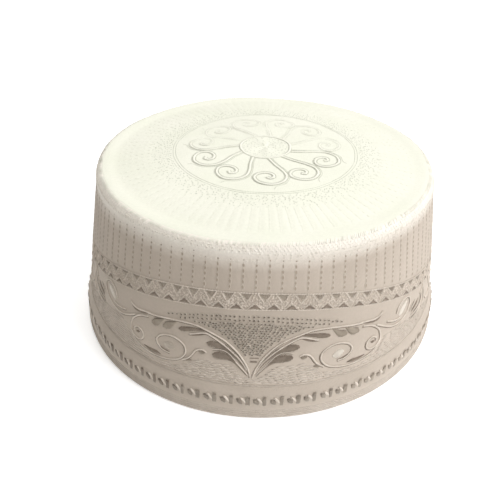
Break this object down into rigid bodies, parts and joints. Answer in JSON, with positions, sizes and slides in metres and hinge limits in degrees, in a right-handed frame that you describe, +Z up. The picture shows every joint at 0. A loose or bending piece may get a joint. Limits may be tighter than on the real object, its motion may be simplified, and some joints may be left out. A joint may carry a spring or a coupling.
{
  "type": "prayer cap",
  "caption": "Round cloth prayer cap with a tapering embroidered side, a whipped rolled edge, a slightly domed top and a folded hem strip",
  "frame": {"origin": "centre of the hem's round outline, on the surface that the cap rests on", "axes": "+Z up, front of the cap towards -Y, the wearer's left towards +X"},
  "size_m": [0.188, 0.188, 0.0854],
  "materials": {
    "top_cloth": "quilted and embroidered cream cotton, matt",
    "roll_thread": "whipped cream cotton thread over a roll, matt",
    "side_cloth": "embroidered cream cotton with back-stitched rows, matt",
    "hem_cloth": "folded cream cotton strip with running stitches, matt"
  },
  "bodies": {
    "root": {"crown_top": "top_cloth", "edge_roll": "roll_thread", "side_wall": "side_cloth", "hem_strip": "hem_cloth"}
  },
  "joints": []
}
